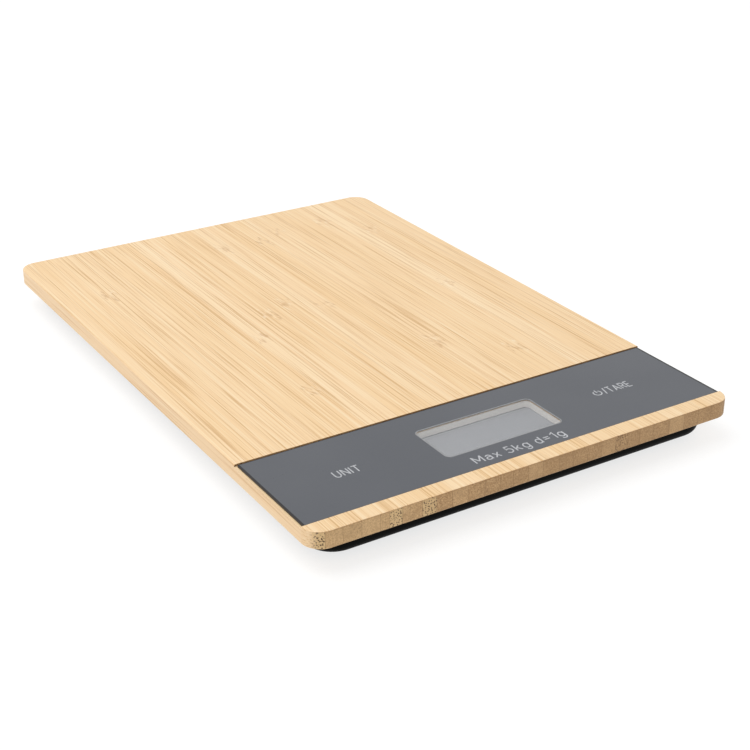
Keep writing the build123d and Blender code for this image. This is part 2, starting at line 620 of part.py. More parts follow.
def battery_door():
    """The compartment's cover, with hinge pins at one end and a latch at the other."""
    top = BASE_BOTTOM + DOOR_THICKNESS
    door = block(-DOOR_HALF_WIDTH, DOOR_HALF_WIDTH, DOOR_FRONT, HINGE_Y, BASE_BOTTOM, top)
    barrel = Cylinder(HINGE_RADIUS, 2 * DOOR_HALF_WIDTH, rotation=(0, 90, 0))
    pins = Cylinder(PIN_RADIUS, 2 * (DOOR_HALF_WIDTH + PIN_LENGTH), rotation=(0, 90, 0))
    door += [Pos(0, HINGE_Y, HINGE_Z) * barrel, Pos(0, HINGE_Y, HINGE_Z) * pins]
    stem, hook = DOOR_FRONT + LATCH_STEM, DOOR_FRONT - LATCH_HOOK
    door += block(-LATCH_HALF_WIDTH, LATCH_HALF_WIDTH, DOOR_FRONT, stem, BASE_BOTTOM, LATCH_TOP)
    door += block(-LATCH_HALF_WIDTH, LATCH_HALF_WIDTH, hook, DOOR_FRONT, LATCH_TOP - 0.8, LATCH_TOP)
    for i in range(GRIP_GROOVES):
        y = DOOR_FRONT + GRIP_START + i * 2 * GRIP_WIDTH
        groove_top = BASE_BOTTOM + GRIP_DEPTH
        door -= block(-GRIP_HALF_LENGTH, GRIP_HALF_LENGTH, y, y + GRIP_WIDTH, BASE_BOTTOM, groove_top)
    return door


def battery_lead(start, end):
    """A wire from a battery contact's tail to the edge of the circuit board."""
    x, y, z = start
    end_x, end_y, end_z = end
    points = [start, (x, y - BATTERY_LEAD_RUN, z), (end_x, end_y + BATTERY_LEAD_RUN, end_z), end]
    return tube(points, BATTERY_LEAD_BEND, LEAD_RADIUS)


def front_sensor_lead(sx):
    """A wire from a front gauge, over the retainer, to the circuit board."""
    over = PCB_TOP + LEAD_CLEAR
    turn, end = LEAD_START_Y - 3.5, LEAD_START_Y - 5.5
    points = [
        (sx * FOOT_X, -LEAD_START_Y, GAUGE_TOP + LEAD_RADIUS),
        (sx * (FOOT_X - 1.4), -turn, over),
        (sx * (FOOT_X - 5.8), -end, over),
        (sx * (PCB_HALF_WIDTH - 2), -end, over),
    ]
    return tube(points, FRONT_LEAD_BEND, LEAD_RADIUS)


def rear_sensor_lead(sx):
    """A wire from a rear gauge, down to its lane on the floor and forward to the circuit board."""
    lane = BASE_FLOOR_TOP + LEAD_CLEAR
    over = RETAINER_TOP + LEAD_RADIUS + 0.1
    under_board = PCB_BOTTOM - LEAD_CLEAR
    points = [
        (sx * FOOT_X, LEAD_START_Y, GAUGE_TOP + LEAD_RADIUS),
        (sx * (FOOT_X - 2.4), LEAD_START_Y - 3.5, over),
        (sx * (FOOT_X - 8.8), LEAD_START_Y - 9.5, over),
        (sx * LEAD_LANE_X, LEAD_START_Y - 19.5, lane),
        (sx * LEAD_LANE_X, -62.0, lane),
        (sx * LEAD_LANE_X, -74.0, under_board),
        (sx * LEAD_LANE_X, -80.0, under_board),
    ]
    return tube(points, REAR_LEAD_BEND, LEAD_RADIUS)


def nodes():
    """Every sub-part by its name."""
    made = {
        "bamboo_platform": bamboo_platform(),
        "control_panel": control_panel(),
        "panel_adhesive": panel_adhesive(),
        "display_window": display_window(),
        "lcd_polariser": lcd_polariser(),
        "lcd_front_glass": lcd_front_glass(),
        "lcd_rear_glass": lcd_rear_glass(),
        "lcd_reflector": lcd_reflector(),
        "lcd_holder": lcd_holder(),
        "contact_strip_front": contact_strip(-1),
        "contact_strip_rear": contact_strip(1),
        "main_pcb": main_pcb(),
        "controller_chip": controller_chip(),
        "amplifier_chip": amplifier_chip(),
        "quartz_crystal": quartz_crystal(),
        "chip_parts": chip_parts(),
        "pcb_screws": pcb_screws(),
        "base_shell": base_shell(),
        "base_screws": base_screws(),
        "retainer_screws": retainer_screws(),
        "coin_cell": coin_cell(),
        "battery_contact_negative": battery_contact_negative(),
        "battery_contact_positive": battery_contact_positive(),
        "battery_door": battery_door(),
        "battery_lead_negative": battery_lead((-2.5, BAY_FRONT - LEAF_TAIL, 7.2), (-6.0, -79.0, 6.3)),
        "battery_lead_positive": battery_lead((10.92, BAY_FRONT - LEAF_TAIL, 5.2), (14.0, -79.0, 6.3)),
    }
    for name, x in KEY_X.items():
        made[f"touch_spring_{name}"] = touch_spring(x)
    for name, (sx, sy) in CORNERS.items():
        made[f"load_cell_{name}"] = load_cell(sx, sy)
        made[f"strain_gauge_{name}"] = strain_gauge(sx, sy)
        made[f"cell_retainer_{name}"] = cell_retainer(sx, sy)
        made[f"foot_cup_{name}"] = foot_cup(sx, sy)
        made[f"rubber_pad_{name}"] = rubber_pad(sx, sy)
        lead = front_sensor_lead if sy < 0 else rear_sensor_lead
        made[f"sensor_lead_{name}"] = lead(sx)
    return made


os.makedirs("parts", exist_ok=True)
for name, part in nodes().items():
    shape = Compound(children=part) if isinstance(part, list) else part
    export_step(shape, f"parts/{name}.step")
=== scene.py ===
import json
import math

import bpy
from mathutils import Matrix, Vector


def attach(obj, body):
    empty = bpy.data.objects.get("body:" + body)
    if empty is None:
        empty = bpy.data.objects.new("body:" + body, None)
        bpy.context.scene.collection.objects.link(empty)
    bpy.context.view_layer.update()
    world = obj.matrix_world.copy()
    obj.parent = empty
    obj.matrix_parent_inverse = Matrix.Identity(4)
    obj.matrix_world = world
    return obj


MM = 0.001

# The camera, in the part's frame, in metres and degrees
CAMERA_PLACE = (-0.2510, -0.4254, 0.2387)
CAMERA_AZIMUTH = -31.95
CAMERA_ELEVATION = 26.28
CAMERA_LENS = 71.38

# Bamboo strips from left to right: left edge in mm, tone from 0 to 1, how porous its end
# is, and the Y of its knuckle in mm (None where the board shows none)
STRIPS = [
    (-80.0, 0.42, 0.85, None), (-76.2, 0.63, 0.10, None), (-70.0, 0.25, 0.20, None),
    (-64.0, 0.80, 0.05, 69.0), (-58.0, 0.48, 0.15, None), (-54.8, 0.30, 0.90, None),
    (-50.2, 0.72, 0.10, None), (-43.6, 0.16, 0.80, None), (-38.6, 0.55, 0.05, -39.0),
    (-33.0, 0.90, 0.15, 7.0), (-27.0, 0.36, 0.10, None), (-21.0, 0.68, 0.25, 23.0),
    (-15.0, 0.20, 0.10, None), (-10.0, 0.60, 0.05, 28.0), (-4.4, 0.85, 0.20, 91.0),
    (1.2, 0.40, 0.10, 19.0), (7.0, 0.12, 0.15, None), (12.8, 0.66, 0.05, 89.0),
    (18.7, 0.33, 0.10, -28.0), (24.2, 0.78, 0.15, 95.0), (29.8, 0.50, 0.45, None),
    (34.4, 0.22, 0.10, None), (39.4, 0.70, 0.05, -47.0), (45.4, 0.44, 0.20, 97.0),
    (52.0, 0.94, 0.10, 13.0), (58.4, 0.28, 0.05, 79.0), (64.4, 0.58, 0.15, None),
    (70.6, 0.38, 0.10, None), (76.6, 0.75, 0.10, None),
]
BOARD_WIDTH = 160.0
# Knuckles lie between minus this and plus this in Y, in mm; plus this, which is past the
# board's end, stands for none
KNUCKLE_REACH = 170.0

# The panel: its middle, its top, and the half sizes of its slate print, round which a dark
# rim is left, in mm
PANEL_MIDDLE_Y = -91.3
PANEL_TOP = 14.8
PRINT_HALF_WIDTH = 78.5
PRINT_HALF_LENGTH = 20.1

# The middle of the window and of the opening under it, in mm
WINDOW_MIDDLE_Y = -91.4

# The part of the board that is made pale as painted light: a little wider and longer than the display
# opening, and up to just under the channel's floor, in mm
PAINTED_LIGHT_HALF_WIDTH = 23.2
PAINTED_LIGHT_HALF_LENGTH = 10.6
PAINTED_LIGHT_TOP = 14.19

# Wood colours that several parts of the grain share
VEIN_BROWN = (0.560, 0.320, 0.140)
CUT_BROWN = (0.330, 0.190, 0.080)


class Surface:
    """A procedural material whose textures are laid out in millimetres in the part's frame."""

    def __init__(self, name, shader=()):
        self.material = bpy.data.materials.new(name)
        self.material.use_nodes = True
        self.tree = self.material.node_tree
        self.shader = self.tree.nodes["Principled BSDF"]
        for socket, value in dict(shader).items():
            self.shader.inputs[socket].default_value = value
        place = self.add("ShaderNodeTexCoord")
        self.normal = place.outputs["Normal"]
        self.mm = self.scaled(place.outputs["Object"], 1 / MM, 1 / MM, 1 / MM)

    def add(self, kind, inputs=(), **settings):
        """A node with its settings and inputs; an input may be a value or another node's output."""
        node = self.tree.nodes.new(kind)
        for name, value in settings.items():
            setattr(node, name, value)
        for name, value in dict(inputs).items():
            if isinstance(value, bpy.types.NodeSocket):
                self.tree.links.new(value, node.inputs[name])
            else:
                node.inputs[name].default_value = value
        return node

    def feed(self, socket, value):
        """Links a varying value to one of the shader's own sockets."""
        self.tree.links.new(value, self.shader.inputs[socket])

    def math(self, operation, a, b=0.0):
        return self.add("ShaderNodeMath", {0: a, 1: b}, operation=operation).outputs[0]

    def scaled(self, vector, x, y, z):
        return self.add("ShaderNodeVectorMath", {0: vector, 1: (x, y, z)}, operation="MULTIPLY").outputs[0]

    def shifted(self, vector, x, y, z):
        offset = self.add("ShaderNodeCombineXYZ", {"X": x, "Y": y, "Z": z}).outputs[0]
        return self.add("ShaderNodeVectorMath", {0: vector, 1: offset}, operation="ADD").outputs[0]

    def split(self, vector):
        return self.add("ShaderNodeSeparateXYZ", {0: vector}).outputs

    def times(self, a, b):
        return self.math("MULTIPLY", a, b)

    def plus(self, a, b):
        return self.math("ADD", a, b)

    def size(self, value):
        """The value without its sign."""
        return self.math("ABSOLUTE", value)

    def noise(self, vector, scale=1.0, detail=2.0, roughness=0.5, distortion=0.0):
        inputs = {"Vector": vector, "Scale": scale, "Detail": detail, "Roughness": roughness,
                  "Distortion": distortion}
        return self.add("ShaderNodeTexNoise", inputs).outputs["Fac"]

    def cells(self, vector, scale):
        """The distance to the nearest of scattered points."""
        return self.add("ShaderNodeTexVoronoi", {"Vector": vector, "Scale": scale}).outputs["Distance"]

    def fade(self, value, low, high, start=0.0, end=1.0):
        """Runs smoothly from start to end as the value goes from low to high."""
        inputs = {"Value": value, "From Min": low, "From Max": high, "To Min": start, "To Max": end}
        return self.add("ShaderNodeMapRange", inputs, interpolation_type="SMOOTHSTEP").outputs["Result"]

    def mixed(self, share, a, b):
        """The colour a with a share of the colour b."""
        node = self.add("ShaderNodeMix", {0: share}, data_type="RGBA")
        for index, value in ((6, a), (7, b)):
            if isinstance(value, bpy.types.NodeSocket):
                self.tree.links.new(value, node.inputs[index])
            else:
                node.inputs[index].default_value = (*value, 1.0)
        return node.outputs[2]

    def ramp(self, value, stops, interpolation="LINEAR"):
        """The colour for a value, from stops of position and colour."""
        node = self.add("ShaderNodeValToRGB", {0: value})
        node.color_ramp.interpolation = interpolation
        elements = node.color_ramp.elements
        while len(elements) < len(stops):
            elements.new(1.0)
        for element, (position, colour) in zip(elements, stops):
            element.position = position
            element.color = (*colour, 1.0)
        return node.outputs[0]

    def relief(self, height, depth, strength=1.0):
        """Shades the surface as if it were raised by a height times a depth in mm."""
        inputs = {"Height": height, "Distance": depth * MM, "Strength": strength}
        self.feed("Normal", self.add("ShaderNodeBump", inputs).outputs["Normal"])


def strip_data(surface, x):
    """The tone, knuckle place and pore share of the strip at x, as the channels of one colour."""
    stops = []
    for left, tone, pores, knuckle in STRIPS:
        place = 1.0 if knuckle is None else knuckle / (2 * KNUCKLE_REACH) + 0.5
        stops.append((left / BOARD_WIDTH + 0.5, (tone, place, pores)))
    along = surface.math("MULTIPLY_ADD", x, 1 / BOARD_WIDTH)
    along.node.inputs[2].default_value = 0.5
    return surface.ramp(along, stops, "CONSTANT")


def bamboo():
    """Edge-glued bamboo strips along Y under satin lacquer, with their ends on the short sides."""
    s = Surface("bamboo_lacquered", {"Specular IOR Level": 0.4})
    x, y, z = s.split(s.mm)
    wobble = s.noise(s.scaled(s.mm, 0.004, 0.012, 0.05), detail=1.0)
    wavy_x = s.plus(x, s.fade(wobble, 0.3, 0.7, -0.35, 0.35))
    tone, knuckle, pores = s.split(strip_data(s, wavy_x))
    beyond = s.split(strip_data(s, s.plus(wavy_x, 0.16)))[0]
    joint = s.math("GREATER_THAN", s.size(s.math("SUBTRACT", tone, beyond)), 0.001)

    # Long grain, shifted so that each strip has its own
    own = s.times(tone, 60.0)
    grain = s.shifted(s.mm, 0.0, s.times(tone, 900.0), own)
    fine = s.noise(s.scaled(grain, 2.2, 0.015, 2.2), detail=2.0, roughness=0.6)
    hair = s.noise(s.scaled(grain, 2.1, 0.015, 2.1), detail=1.0)
    broad = s.noise(s.scaled(grain, 0.30, 0.004, 0.30), detail=2.0)
    tones = [(0.0, (0.855, 0.580, 0.295)), (0.35, (0.915, 0.668, 0.398)),
             (0.65, (0.885, 0.622, 0.342)), (1.0, (0.945, 0.725, 0.462))]
    base = s.ramp(tone, tones)
    base = s.mixed(s.fade(broad, 0.40, 0.72, 0.0, 0.35), base, (0.840, 0.575, 0.315))
    base = s.mixed(s.fade(fine, 0.53, 0.66, 0.0, 0.74), base, (0.630, 0.375, 0.155))
    base = s.mixed(s.fade(fine, 0.48, 0.34, 0.0, 0.62), base, (0.950, 0.765, 0.515))
    thread = s.times(s.fade(hair, 0.61, 0.72, 0.0, 0.42), s.fade(broad, 0.30, 0.60, 0.35, 1.0))
    base = s.mixed(thread, base, (0.560, 0.315, 0.120))
    base = s.mixed(s.times(joint, 0.30), base, (0.560, 0.340, 0.160))
    # Painted shade: the left and right faces are made darker than the top, as if less light fell on them
    side = s.fade(s.size(s.split(s.normal)[0]), 0.45, 0.85, 0.0, 0.26)
    base = s.mixed(side, base, (0.560, 0.350, 0.180))

    # Knuckles: fibres that fan out round a pale eye, with brown edges
    centre = s.math("MULTIPLY_ADD", knuckle, 2 * KNUCKLE_REACH)
    centre.node.inputs[2].default_value = -KNUCKLE_REACH
    blur = s.noise(s.scaled(grain, 0.50, 0.12, 0.50), detail=2.0)
    away = s.plus(s.math("SUBTRACT", y, centre), s.fade(blur, 0.25, 0.75, -5.0, 5.0))
    band = s.fade(s.size(away), 5.5, 0.5)
    lean = s.shifted(grain, s.times(y, 0.22), 0.0, 0.0)
    streak = s.noise(s.scaled(lean, 1.1, 0.20, 1.1), detail=3.0, roughness=0.65)
    brown = s.times(band, s.fade(streak, 0.47, 0.62, 0.0, 0.55))
    base = s.mixed(brown, base, VEIN_BROWN)
    pale = s.times(band, s.fade(streak, 0.47, 0.33, 0.0, 0.60))
    base = s.mixed(pale, base, (0.980, 0.860, 0.680))

    # End grain
    facing = s.size(s.split(s.normal)[1])
    end = s.fade(facing, 0.45, 0.85)
    flat = s.scaled(s.mm, 1.0, 0.05, 1.0)
    speckle = s.noise(flat, scale=2.0, detail=4.0, roughness=0.75)
    patch = s.noise(flat, scale=0.22, detail=2.0)
    cut = s.ramp(speckle, [(0.34, (0.235, 0.125, 0.048)), (0.50, (0.480, 0.285, 0.125)),
                           (0.66, (0.720, 0.480, 0.245))])
    cut = s.mixed(s.fade(patch, 0.40, 0.70, 0.0, 0.35), cut, CUT_BROWN)
    cut = s.mixed(s.fade(tone, 0.10, 0.50, 0.22, 0.0), cut, CUT_BROWN)
    cut = s.mixed(s.fade(x, -45.0, 10.0, 0.0, 0.38), cut, (0.330, 0.195, 0.085))
    cut = s.mixed(s.fade(x, -35.0, -60.0, 0.0, 0.30), cut, (0.740, 0.520, 0.260))
    cut = s.mixed(s.fade(tone, 0.60, 0.95, 0.0, 0.22), cut, (0.700, 0.470, 0.240))
    cut = s.mixed(s.fade(pores, 0.40, 0.80, 0.0, 0.45), cut, (0.800, 0.580, 0.290))
    hole = s.fade(s.cells(flat, scale=1.6), 0.43, 0.28)
    porous = s.plus(pores, s.times(patch, 0.4))
    pore = s.times(hole, s.fade(porous, 0.30, 0.85, 0.06, 1.0))
    cut = s.mixed(pore, cut, (0.070, 0.032, 0.012))
    cut = s.mixed(s.times(joint, 0.60), cut, (0.200, 0.105, 0.040))
    cut = s.mixed(s.fade(z, 14.45, 14.85, 0.0, 0.45), cut, (0.300, 0.130, 0.050))
    cut = s.mixed(0.10, cut, (0.200, 0.115, 0.050))

    # Painted light: the walls of the display opening are made pale, nearly white, to lift them out of the
    # shade in the opening
    inside_x = s.math("LESS_THAN", s.size(x), PAINTED_LIGHT_HALF_WIDTH)
    inside_y = s.math("LESS_THAN", s.size(s.plus(y, -WINDOW_MIDDLE_Y)), PAINTED_LIGHT_HALF_LENGTH)
    below = s.math("LESS_THAN", z, PAINTED_LIGHT_TOP)
    inside = s.times(s.times(inside_x, inside_y), below)
    whole = s.mixed(end, base, cut)
    painted_light_pale = s.mixed(speckle, (0.900, 0.850, 0.780), (0.960, 0.915, 0.850))
    whole = s.mixed(inside, whole, painted_light_pale)

    s.feed("Base Color", whole)
    satin = s.fade(fine, 0.2, 0.8, 0.36, 0.50)
    s.feed("Roughness", s.plus(satin, s.times(end, 0.14)))
    pits = s.times(s.times(pore, end), -3.0)
    s.relief(s.plus(fine, pits), 0.04, 0.4)
    return s.material


def moulded(name, colour, roughness, grain=1.2, depth=0.02, wear=0.12, shader=()):
    """Moulded plastic or rubber: a fine grain, with the colour and the sheen slightly uneven."""
    s = Surface(name, shader)
    fine = s.noise(s.mm, scale=grain, detail=4.0, roughness=0.6)
    broad = s.noise(s.mm, scale=0.05, detail=3.0)
    dark = tuple(c * (1 - wear) for c in colour)
    light = tuple(min(1.0, c * (1 + wear)) for c in colour)
    s.feed("Base Color", s.mixed(s.fade(broad, 0.3, 0.7), dark, light))
    uneven = s.plus(fine, s.times(broad, 0.5))
    s.feed("Roughness", s.fade(uneven, 0.5, 1.1, roughness - 0.06, roughness + 0.06))
    s.relief(fine, depth)
    return s.material


def metal(name, colour, roughness, stretch=(0.3, 6.0, 6.0), depth=0.01, wear=0.15):
    """Bright metal with drawing or pressing lines and faint stains."""
    s = Surface(name, {"Metallic": 1.0})
    lines = s.noise(s.scaled(s.mm, *stretch), detail=3.0)
    stain = s.noise(s.mm, scale=0.35, detail=3.0)
    dark = tuple(c * (1 - wear) for c in colour)
    s.feed("Base Color", s.mixed(s.fade(stain, 0.35, 0.75), colour, dark))
    uneven = s.plus(lines, s.times(stain, 0.4))
    s.feed("Roughness", s.fade(uneven, 0.3, 1.1, roughness - 0.08, roughness + 0.12))
    s.relief(lines, depth)
    return s.material


def panel_print():
    """The touch panel: satin slate on top with a fine print texture, and dark cut edges and a dark rim round
    the print; along the front and back the rim is also painted shadow of the joints with the bamboo.
    """
    s = Surface("panel_slate", {"Specular IOR Level": 0.5})
    x, y, _ = s.split(s.mm)
    inner_x = s.fade(s.size(x), PRINT_HALF_WIDTH - 0.05, PRINT_HALF_WIDTH + 0.05, 1.0, 0.0)
    from_middle = s.size(s.plus(y, -PANEL_MIDDLE_Y))
    inner_y = s.fade(from_middle, PRINT_HALF_LENGTH - 0.05, PRINT_HALF_LENGTH + 0.05, 1.0, 0.0)
    inner = s.times(inner_x, inner_y)
    up = s.times(s.fade(s.split(s.normal)[2], 0.55, 0.9), inner)
    fine = s.noise(s.mm, scale=3.5, detail=3.0, roughness=0.6)
    cloud = s.noise(s.mm, scale=0.02, detail=2.0)
    face = s.mixed(s.fade(cloud, 0.3, 0.7), (0.098, 0.105, 0.120), (0.109, 0.116, 0.131))
    face = s.mixed(s.fade(fine, 0.35, 0.7, 0.0, 0.2), face, (0.084, 0.088, 0.098))
    # Dark rim round the print: the clear edge over black tape, and along the front and back also painted
    # shadow of the joints with the bamboo
    s.feed("Base Color", s.mixed(up, (0.012, 0.011, 0.011), face))
    smear = s.noise(s.scaled(s.mm, 0.03, 0.09, 0.03), detail=4.0, distortion=0.6)
    s.feed("Roughness", s.fade(s.plus(smear, s.times(fine, 0.3)), 0.3, 1.0, 0.27, 0.37))
    s.relief(fine, 0.006, 0.5)
    return s.material


def clear_window():
    """Clear acrylic with very faint wipe marks."""
    s = Surface("window_acrylic", {"Base Color": (0.70, 0.71, 0.73, 1.0), "Alpha": 0.17, "IOR": 1.49})
    wipe = s.noise(s.scaled(s.mm, 0.05, 0.4, 0.05), detail=4.0, distortion=0.8)
    s.feed("Roughness", s.fade(wipe, 0.35, 0.8, 0.04, 0.12))
    s.relief(wipe, 0.002, 0.4)
    return s.material


def polariser():
    """The display's film: pale blue-grey, with painted shade that makes it a little darker to the right,
    beside the opening's right wall.
    """
    s = Surface("display_film", {"Specular IOR Level": 0.35})
    fine = s.noise(s.mm, scale=6.0, detail=2.0)
    cloud = s.noise(s.mm, scale=0.06, detail=2.0)
    face = s.mixed(s.fade(cloud, 0.3, 0.7), (0.290, 0.300, 0.318), (0.310, 0.320, 0.338))
    # Painted shade: darker to the right, next to the opening's right wall
    painted_shade = s.fade(s.split(s.mm)[0], -15.0, 24.0, 0.0, 0.55)
    face = s.mixed(painted_shade, face, (0.250, 0.262, 0.282))
    s.feed("Base Color", s.mixed(s.fade(fine, 0.4, 0.7, 0.0, 0.25), face, (0.275, 0.285, 0.303)))
    s.feed("Roughness", s.fade(cloud, 0.3, 0.7, 0.30, 0.40))
    s.relief(fine, 0.004, 0.4)
    return s.material


def lcd_glass():
    """Display glass with the faint tint of its conductive coating."""
    s = Surface("display_glass", {"Alpha": 0.55, "IOR": 1.52})
    coat = s.noise(s.mm, scale=0.12, detail=2.0)
    s.feed("Base Color", s.mixed(coat, (0.60, 0.66, 0.68), (0.66, 0.70, 0.70)))
    s.feed("Roughness", s.fade(coat, 0.3, 0.7, 0.05, 0.12))
    return s.material


def zebra_rubber():
    """Conductive strip: dark and pale layers in turn along its length."""
    s = Surface("zebra_strip")
    pitch = 0.25  # from one dark layer to the next, in mm
    x = s.split(s.mm)[0]
    wave = s.math("SINE", s.times(x, 2 * math.pi / pitch))
    s.feed("Base Color", s.mixed(s.fade(wave, -0.3, 0.3), (0.03, 0.03, 0.03), (0.45, 0.45, 0.43)))
    s.feed("Roughness", s.fade(s.noise(s.mm, scale=2.0), 0.3, 0.7, 0.5, 0.65))
    s.relief(wave, 0.01, 0.5)
    return s.material


def circuit_board():
    """Green solder mask over copper tracks that run square to the board's edges."""
    s = Surface("solder_mask", {"Specular IOR Level": 0.5})
    x, y, _ = s.split(s.mm)
    courses = {"Vector": s.mm, "Scale": 0.45, "Mortar Size": 0.10, "Mortar Smooth": 0.1,
               "Brick Width": 3.2, "Row Height": 0.65}
    across = s.add("ShaderNodeTexBrick", courses).outputs["Fac"]
    weave = s.times(s.math("SINE", s.times(x, 9.0)), s.math("SINE", s.times(y, 9.0)))
    area = s.math("GREATER_THAN", s.noise(s.mm, scale=0.06, detail=0.0), 0.46)
    track = s.times(across, area)
    face = s.mixed(s.fade(weave, -1.0, 1.0), (0.020, 0.130, 0.050), (0.026, 0.150, 0.060))
    s.feed("Base Color", s.mixed(track, face, (0.060, 0.290, 0.110)))
    s.feed("Roughness", s.fade(weave, -1.0, 1.0, 0.30, 0.38))
    s.relief(s.plus(track, s.times(weave, 0.1)), 0.03, 0.6)
    return s.material


# The material of each slot
MAKERS = {
    "bamboo": bamboo,
    "panel_print": panel_print,
    "tape": lambda: moulded("tape_black", (0.020, 0.019, 0.018), 0.75, grain=4.0, depth=0.03),
    "clear_window": clear_window,
    "polariser": polariser,
    "lcd_glass": lcd_glass,
    "reflector": lambda: metal("reflector_film", (0.60, 0.62, 0.63), 0.32),
    "white_plastic": lambda: moulded("plastic_white", (0.75, 0.75, 0.72), 0.42, wear=0.04),
    "zebra_rubber": zebra_rubber,
    "circuit_board": circuit_board,
    "chip_resin": lambda: moulded("resin_black", (0.015, 0.015, 0.016), 0.40, grain=3.0, depth=0.01),
    "chip_ceramic": lambda: moulded("ceramic_tan", (0.30, 0.24, 0.18), 0.50, grain=3.0),
    "plated_metal": lambda: metal("nickel_plate", (0.68, 0.67, 0.64), 0.28),
    "screw_steel": lambda: metal("zinc_plate", (0.42, 0.42, 0.42), 0.38, stretch=(1.5, 1.5, 1.5)),
    "cell_steel": lambda: metal("cell_can", (0.66, 0.66, 0.66), 0.25, stretch=(5.0, 5.0, 0.5)),
    "cell_plate_steel": lambda: metal("spring_steel", (0.50, 0.51, 0.52), 0.35, stretch=(6.0, 0.3, 6.0)),
    "gauge_film": lambda: moulded("gauge_amber", (0.62, 0.38, 0.12), 0.35, grain=2.0, depth=0.01),
    "base_plastic": lambda: moulded("base_black", (0.0030, 0.0034, 0.0031), 0.40, grain=2.2, depth=0.02,
                                    shader={"Specular IOR Level": 0.025}),
    "foot_plastic": lambda: moulded("foot_black", (0.020, 0.020, 0.021), 0.45, grain=2.2),
    "foot_rubber": lambda: moulded("rubber_dark", (0.035, 0.035, 0.036), 0.72, grain=1.6, depth=0.04),
    "lead_white": lambda: moulded("insulation_white", (0.70, 0.70, 0.68), 0.40, wear=0.04),
    "lead_red": lambda: moulded("insulation_red", (0.45, 0.020, 0.020), 0.40),
    "lead_black": lambda: moulded("insulation_black", (0.012, 0.012, 0.012), 0.40),
}


def band(left, right, low, high, closed=False):
    """The vertices and faces of a flat strip between two lines of as many points, in mm."""
    count = len(left)
    corners = ((left, high), (right, high), (right, low), (left, low))
    verts = [(x * MM, y * MM, z * MM) for line, z in corners for x, y in line]
    faces = []
    for i in range(count if closed else count - 1):
        j = (i + 1) % count
        for side in range(4):
            a, b = side * count, (side + 1) % 4 * count
            faces.append([a + i, b + i, b + j, a + j])
    if not closed:
        faces.append([0, 3 * count, 2 * count, count])
        faces.append([count - 1, 2 * count - 1, 3 * count - 1, 4 * count - 1])
    return verts, faces


def solid(name, bands):
    """One object made of some bands."""
    verts, faces = [], []
    for band_verts, band_faces in bands:
        first = len(verts)
        verts += band_verts
        faces += [[first + i for i in face] for face in band_faces]
    mesh = bpy.data.meshes.new(name)
    mesh.from_pydata(verts, [], faces)
    mesh.update()
    made = bpy.data.objects.new(name, mesh)
    bpy.context.scene.collection.objects.link(made)
    return made


def box(name, x0, x1, y0, y1, z0, z1):
    return solid(name, [band([(x0, y1), (x1, y1)], [(x0, y0), (x1, y0)], z0, z1)])


def rounded_outline(width, length, radius, y, steps=10):
    """Points anticlockwise round a rounded rectangle centred on x 0."""
    points = []
    for corner, (sx, sy) in enumerate(((1, 1), (-1, 1), (-1, -1), (1, -1))):
        for i in range(steps + 1):
            a = math.radians(90 * (corner + i / steps))
            points.append((sx * (width / 2 - radius) + radius * math.cos(a),
                           y + sy * (length / 2 - radius) + radius * math.sin(a)))
    return points


def bend(x, y, across, along, start, end, steps=10):
    """Points along part of an ellipse, angles in degrees from +X."""
    angles = (math.radians(start + (end - start) * i / steps) for i in range(steps + 1))
    return [(x + across * math.cos(a), y + along * math.sin(a)) for a in angles]


# Each letter: its width, and its strokes in a box one capital letter high
LETTERS = {
    "U": (0.66, [[(0, 1), *bend(0.33, 0.33, 0.33, 0.33, 180, 360), (0.66, 1)]]),
    "N": (0.68, [[(0, 0), (0, 1)], [(0, 1), (0.68, 0)], [(0.68, 0), (0.68, 1)]]),
    "I": (0.0, [[(0, 0), (0, 1)]]),
    "T": (0.70, [[(0, 1), (0.70, 1)], [(0.35, 1), (0.35, 0)]]),
    "/": (0.36, [[(0, -0.05), (0.36, 1.05)]]),
    "A": (0.78, [[(0, 0), (0.39, 1)], [(0.39, 1), (0.78, 0)], [(0.14, 0.34), (0.64, 0.34)]]),
    "R": (0.64, [[(0, 0), (0, 1), (0.36, 1), *bend(0.36, 0.75, 0.26, 0.25, 90, -90), (0, 0.5)],
                 [(0.34, 0.5), (0.64, 0)]]),
    "E": (0.56, [[(0.56, 1), (0, 1), (0, 0), (0.56, 0)], [(0, 0.52), (0.50, 0.52)]]),
    "M": (0.84, [[(0, 0), (0, 1)], [(0, 1), (0.42, 0.22)],
                 [(0.42, 0.22), (0.84, 1)], [(0.84, 1), (0.84, 0)]]),
    "a": (0.50, [[(0.04, 0.56), *bend(0.27, 0.44, 0.23, 0.26, 140, 0, 8), (0.50, 0)],
                 [(0.50, 0.40), (0.24, 0.40), *bend(0.22, 0.20, 0.22, 0.20, 90, 290, 10), (0.50, 0.16)]]),
    "x": (0.50, [[(0, 0), (0.50, 0.70)], [(0, 0.70), (0.50, 0)]]),
    "5": (0.56, [[(0.50, 1), (0.10, 1), (0.05, 0.54), *bend(0.26, 0.33, 0.30, 0.31, 130, -150, 14)]]),
    "k": (0.50, [[(0, 0), (0, 1)], [(0.46, 0.70), (0, 0.26)], [(0.17, 0.43), (0.50, 0)]]),
    "g": (0.54, [bend(0.27, 0.35, 0.27, 0.35, 0, 360, 18),
                 [(0.54, 0.70), *bend(0.27, -0.04, 0.27, 0.26, 0, -150, 10)]]),
    "d": (0.54, [bend(0.27, 0.35, 0.27, 0.35, 0, 360, 18), [(0.54, 1), (0.54, 0)]]),
    "=": (0.54, [[(0, 0.60), (0.54, 0.60)], [(0, 0.32), (0.54, 0.32)]]),
    "1": (0.30, [[(0, 0.78), (0.30, 1), (0.30, 0)]]),
    " ": (0.12, []),
}
LETTER_GAP = 0.33
# Each stroke of a mark ends this much higher than the one before, in mm
STROKE_STEP = 0.0006
# A mitre is at most as long as the line's width divided by this
MITRE_LIMIT = 0.6


